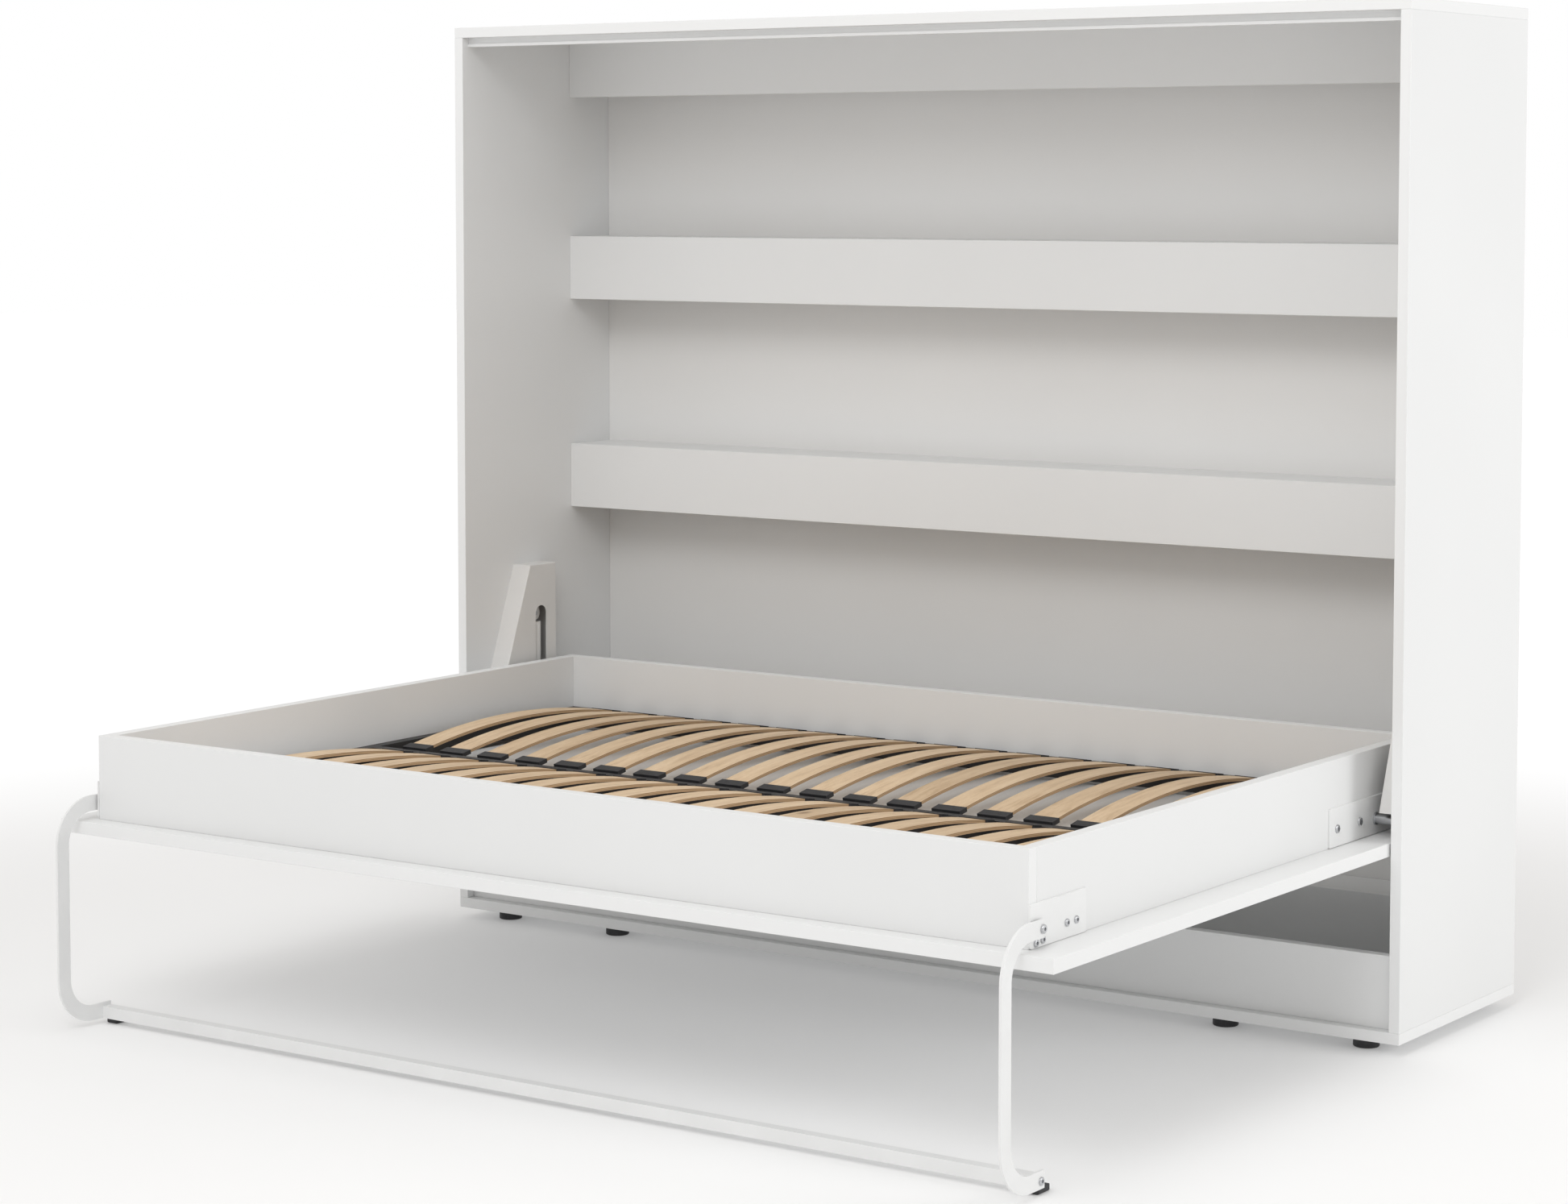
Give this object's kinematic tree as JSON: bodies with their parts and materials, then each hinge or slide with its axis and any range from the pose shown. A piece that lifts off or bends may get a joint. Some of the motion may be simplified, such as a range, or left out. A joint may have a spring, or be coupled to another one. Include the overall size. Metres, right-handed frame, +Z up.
{
  "type": "horizontal murphy wall bed",
  "caption": "Sideways folding wall bed: low wide open cabinet with ledges, slatted bed frame hinged in it on two axles, gas struts under covers, and a U-shaped folding leg at the front.",
  "frame": {"origin": "on the floor under the middle of the cabinet's front plane", "axes": "+X along the cabinet to the right seen from the room, +Y from the room towards the wall, +Z up"},
  "size_m": [2.26, 1.8055, 1.954],
  "materials": {
    "white_board": "white melamine-faced chipboard, satin",
    "white_back": "white lacquered fibreboard back panel, matt",
    "white_steel": "white powder coat, satin",
    "black_steel": "black powder coat, satin",
    "zinc_steel": "zinc-plated steel",
    "rod_chrome": "polished chrome",
    "bush_brass": "turned brass",
    "black_plastic": "black moulded plastic, matt",
    "slat_wood": "natural laminated birch, clear lacquer"
  },
  "bodies": {
    "cabinet": {"base_panel": "white_board", "left_side_panel": "white_board", "right_side_panel": "white_board", "top_panel": "white_board", "back_panel": "white_back", "plinth_board": "white_board", "head_rail": "white_board", "top_ledge_board": "white_board", "upper_ledge_front": "white_board", "upper_ledge_top": "white_board", "middle_ledge_front": "white_board", "middle_ledge_top": "white_board", "low_ledge_front": "white_board", "low_ledge_top": "white_board", "cabinet_feet": "black_plastic", "left_cover": "white_steel", "right_cover": "white_steel", "left_wall_plate": "zinc_steel", "right_wall_plate": "zinc_steel", "hinge_bushes": "bush_brass", "wall_plate_screws": "zinc_steel", "strut_upper_studs": "zinc_steel"},
    "bed": {"front_panel": "white_board", "left_side_board": "white_board", "right_side_board": "white_board", "front_board": "white_board", "rear_board": "white_board", "left_hinge_plate": "white_steel", "right_hinge_plate": "white_steel", "hinge_plate_screws": "zinc_steel", "hinge_axles": "zinc_steel", "strut_crank_studs": "zinc_steel", "left_leg_bracket": "white_steel", "right_leg_bracket": "white_steel", "leg_bracket_screws": "zinc_steel", "leg_pivot_screws": "zinc_steel", "leg_pivot_washers": "black_plastic", "slat_front_rail": "black_steel", "slat_rear_rail": "black_steel", "left_end_rail": "black_steel", "right_end_rail": "black_steel", "slat_centre_beam": "black_steel", "front_slats": "slat_wood", "rear_slats": "slat_wood", "front_slat_caps": "black_plastic", "rear_slat_caps": "black_plastic"},
    "leg_frame": {"left_leg_arm": "white_steel", "right_leg_arm": "white_steel", "leg_cross_bar": "white_steel", "cross_bar_screws": "zinc_steel", "leg_foot_pads": "black_plastic"},
    "left_cylinder": {"left_strut_cylinder": "black_steel"},
    "left_rod": {"left_strut_rod": "rod_chrome"},
    "right_cylinder": {"right_strut_cylinder": "black_steel"},
    "right_rod": {"right_strut_rod": "rod_chrome"}
  },
  "joints": [
    {"name": "bed_hinge", "type": "hinge", "parent": "cabinet", "child": "bed", "pos_m": [0, 0.074, 0.43], "axis": [-1, 0, 0], "range_deg": [0, 90], "stiffness_Nm_per_rad": 120, "springref_deg": 90},
    {"name": "leg_fold", "type": "hinge", "parent": "bed", "child": "leg_frame", "pos_m": [0, -1.156, 0.432], "axis": [-1, 0, 0], "range_deg": [0, 185]},
    {"name": "left_strut_swing", "type": "hinge", "parent": "cabinet", "child": "left_cylinder", "pos_m": [-1.084, 0.204, 0.66], "axis": [-1, 0, 0], "range_deg": [0, 21.9]},
    {"name": "left_strut_stroke", "type": "slide", "parent": "left_cylinder", "child": "left_rod", "axis": [0, 0, -1], "range_m": [0, 0.144]},
    {"name": "right_strut_swing", "type": "hinge", "parent": "cabinet", "child": "right_cylinder", "pos_m": [1.084, 0.204, 0.66], "axis": [-1, 0, 0], "range_deg": [0, 21.9]},
    {"name": "right_strut_stroke", "type": "slide", "parent": "right_cylinder", "child": "right_rod", "axis": [0, 0, -1], "range_m": [0, 0.144]}
  ],
  "couplings": [
    {"joint": "left_strut_swing", "follows": "bed_hinge", "ratio": 0.24224},
    {"joint": "left_strut_stroke", "follows": "bed_hinge", "m_per_rad": 0.0915},
    {"joint": "right_strut_swing", "follows": "bed_hinge", "ratio": 0.24224},
    {"joint": "right_strut_stroke", "follows": "bed_hinge", "m_per_rad": 0.0915}
  ]
}
